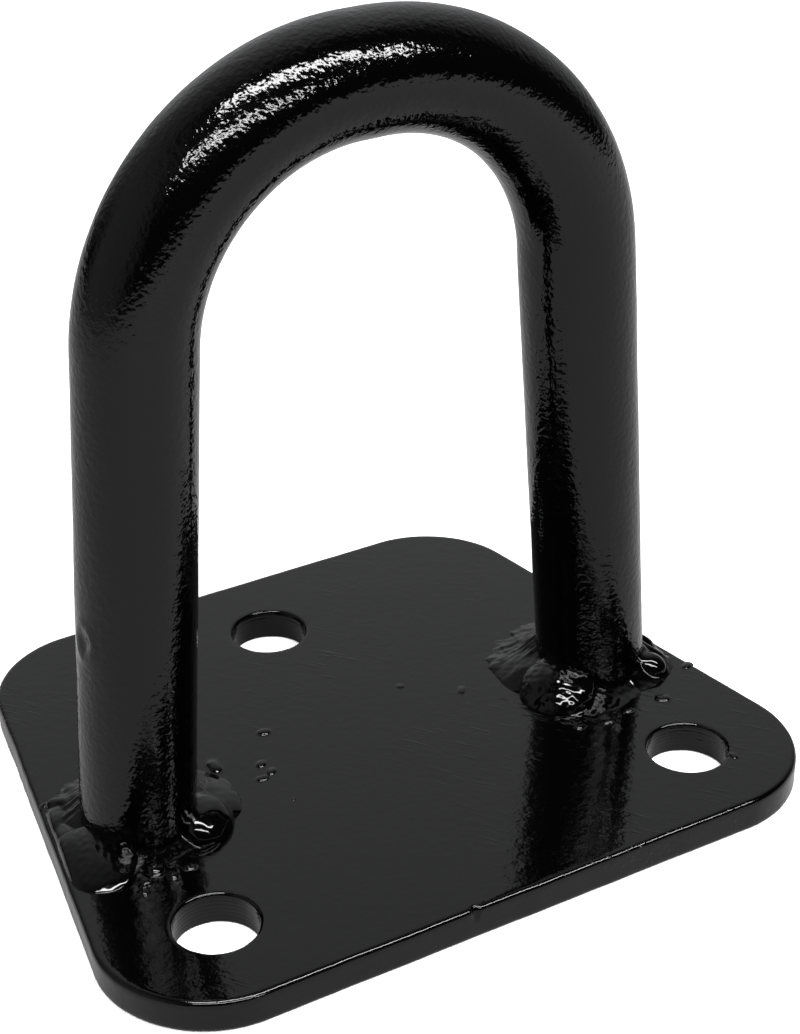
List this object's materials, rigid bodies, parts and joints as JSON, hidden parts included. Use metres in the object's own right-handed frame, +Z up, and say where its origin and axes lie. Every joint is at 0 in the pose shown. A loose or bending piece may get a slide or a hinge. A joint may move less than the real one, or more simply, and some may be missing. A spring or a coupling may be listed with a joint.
{
  "type": "welded bar eye on a base plate",
  "caption": "Round bar bent into an upright bow and fillet-welded to a flat tapered base plate with bolt holes, black gloss coated; a fixed lashing and lifting eye.",
  "frame": {"origin": "middle of the base plate's underside, below the middle of the bounding box", "axes": "+Z up out of the plate towards the crown of the bow; +X along the plate's straight front edge, in the plane of the bow; +Y from the wide front edge with two bolt holes towards the narrow back edge with one, through the eye"},
  "size_m": [0.1074, 0.089, 0.112],
  "materials": {
    "plate_coat": "gloss",
    "bow_coat": "gloss",
    "weld_coat": "gloss"
  },
  "bodies": {
    "root": {"base_plate": "plate_coat", "bow_bar": "bow_coat", "weld_left_rear": "weld_coat", "weld_left_front": "weld_coat", "weld_left_inner": "weld_coat", "weld_right_rear": "weld_coat", "weld_right_front": "weld_coat", "weld_right_outer": "weld_coat"}
  },
  "joints": []
}
